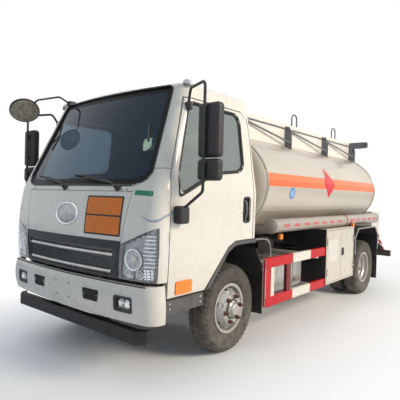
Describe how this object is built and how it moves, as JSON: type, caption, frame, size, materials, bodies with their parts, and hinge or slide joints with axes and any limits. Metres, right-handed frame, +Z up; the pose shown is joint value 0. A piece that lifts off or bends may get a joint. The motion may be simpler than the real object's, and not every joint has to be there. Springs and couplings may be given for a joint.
{
  "type": "tanker truck",
  "caption": "Light fuel tanker truck with a tilting forward-control cab, an oval tank with top coamings, hose tubes, side guards and a pump cabinet.",
  "frame": {"origin": "on the ground below the middle of the truck's box", "axes": "+Z up, the front faces -Y, +X is the truck's left side"},
  "size_m": [2.61, 6.0006, 2.454],
  "materials": {
    "cab_paint": "gloss",
    "tank_paint": "satin",
    "chassis_paint": "satin",
    "spring_steel": "matte",
    "engine_iron": "matte",
    "wheel_silver": "satin",
    "tyre": "matte",
    "dark_plastic": "matte",
    "glass": "polished",
    "lamp": "gloss",
    "fabric": "matte",
    "bright_steel": "satin",
    "bare_aluminium": "satin"
  },
  "bodies": {
    "chassis": {"frame_rails": "chassis_paint", "cross_members": "chassis_paint", "front_axle": "chassis_paint", "rear_axle": "chassis_paint", "leaf_springs": "spring_steel", "drive_shaft": "chassis_paint", "engine": "engine_iron", "front_bumper": "cab_paint", "chassis_lamps": "lamp", "front_underrun_bar": "chassis_paint", "tilt_brackets": "chassis_paint", "entry_steps": "dark_plastic", "tank": "tank_paint", "tank_cradles": "chassis_paint", "coaming_panels": "cab_paint", "tank_hoops": "bright_steel", "manhole_collar": "bright_steel", "hose_tubes": "cab_paint", "side_guards": "cab_paint", "fuel_tank": "bare_aluminium", "air_filter": "dark_plastic", "battery_box": "dark_plastic", "pump_cabinet": "cab_paint", "mudguards": "dark_plastic", "valve_box": "cab_paint", "rear_underrun_bar": "chassis_paint", "rear_ladder": "bright_steel"},
    "cab": {"cab_shell": "cab_paint", "front_hood": "cab_paint", "cab_glass": "glass", "grille": "dark_plastic", "cab_lamps": "lamp", "arch_trims": "dark_plastic", "seats": "fabric", "dashboard": "dark_plastic", "steering_wheel": "dark_plastic", "wipers": "dark_plastic", "front_mirror": "dark_plastic"},
    "door_left_body": {"door_left": "cab_paint", "door_glass_left": "glass", "mirror_left": "dark_plastic"},
    "door_right_body": {"door_right": "cab_paint", "door_glass_right": "glass", "mirror_right": "dark_plastic"},
    "knuckle_left_body": {"knuckle_left": "chassis_paint"},
    "knuckle_right_body": {"knuckle_right": "chassis_paint"},
    "tie_rod_body": {"tie_rod": "chassis_paint"},
    "front_wheel_left_body": {"front_wheel_left": "wheel_silver", "front_tyre_left": "tyre"},
    "front_wheel_right_body": {"front_wheel_right": "wheel_silver", "front_tyre_right": "tyre"},
    "rear_wheel_left_body": {"rear_wheel_left": "wheel_silver", "rear_outer_wheel_left": "wheel_silver", "rear_tyres_left": "tyre"},
    "rear_wheel_right_body": {"rear_wheel_right": "wheel_silver", "rear_outer_wheel_right": "wheel_silver", "rear_tyres_right": "tyre"},
    "cabinet_door_front_body": {"cabinet_door_front": "cab_paint"},
    "cabinet_door_rear_body": {"cabinet_door_rear": "cab_paint"},
    "manhole_lid_body": {"manhole_lid": "bright_steel"}
  },
  "joints": [
    {"name": "steer_left", "type": "hinge", "parent": "chassis", "child": "knuckle_left_body", "pos_m": [0.735, -1.8875, 0.388], "axis": [0, 0, 1], "range_deg": [-35, 35]},
    {"name": "steer_right", "type": "hinge", "parent": "chassis", "child": "knuckle_right_body", "pos_m": [-0.735, -1.8875, 0.388], "axis": [0, 0, 1], "range_deg": [-35, 35]},
    {"name": "tie_rod_pivot", "type": "hinge", "parent": "knuckle_left_body", "child": "tie_rod_body", "pos_m": [0.7, -1.7275, 0.304], "axis": [0, 0, 1], "range_deg": [-35, 35]},
    {"name": "front_wheel_left_spin", "type": "hinge", "parent": "knuckle_left_body", "child": "front_wheel_left_body", "pos_m": [0.83, -1.8875, 0.388], "axis": [1, 0, 0], "continuous": true},
    {"name": "front_wheel_right_spin", "type": "hinge", "parent": "knuckle_right_body", "child": "front_wheel_right_body", "pos_m": [-0.83, -1.8875, 0.388], "axis": [1, 0, 0], "continuous": true},
    {"name": "rear_wheel_left_spin", "type": "hinge", "parent": "chassis", "child": "rear_wheel_left_body", "pos_m": [0.79, 1.4125, 0.388], "axis": [1, 0, 0], "continuous": true},
    {"name": "rear_wheel_right_spin", "type": "hinge", "parent": "chassis", "child": "rear_wheel_right_body", "pos_m": [-0.79, 1.4125, 0.388], "axis": [1, 0, 0], "continuous": true},
    {"name": "cab_tilt", "type": "hinge", "parent": "chassis", "child": "cab", "pos_m": [0, -2.9345, 0.62], "axis": [1, 0, 0], "range_deg": [0, 45]},
    {"name": "door_left_hinge", "type": "hinge", "parent": "cab", "child": "door_left_body", "pos_m": [0.975, -2.7565, 1], "axis": [0, 0, 1], "range_deg": [-68, 0]},
    {"name": "door_right_hinge", "type": "hinge", "parent": "cab", "child": "door_right_body", "pos_m": [-0.975, -2.7565, 1], "axis": [0, 0, 1], "range_deg": [0, 68]},
    {"name": "cabinet_door_front_hinge", "type": "hinge", "parent": "chassis", "child": "cabinet_door_front_body", "pos_m": [1.04, -0.041, 0.674], "axis": [0, 0, 1], "range_deg": [-110, 0]},
    {"name": "cabinet_door_rear_hinge", "type": "hinge", "parent": "chassis", "child": "cabinet_door_rear_body", "pos_m": [1.04, 0.852, 0.674], "axis": [0, 0, 1], "range_deg": [0, 110]},
    {"name": "manhole_lid_hinge", "type": "hinge", "parent": "chassis", "child": "manhole_lid_body", "pos_m": [0, 0.5965, 2.262], "axis": [1, 0, 0], "range_deg": [-100, 0]}
  ],
  "couplings": [
    {"joint": "steer_right", "follows": "steer_left", "ratio": 1},
    {"joint": "tie_rod_pivot", "follows": "steer_left", "ratio": -1}
  ]
}
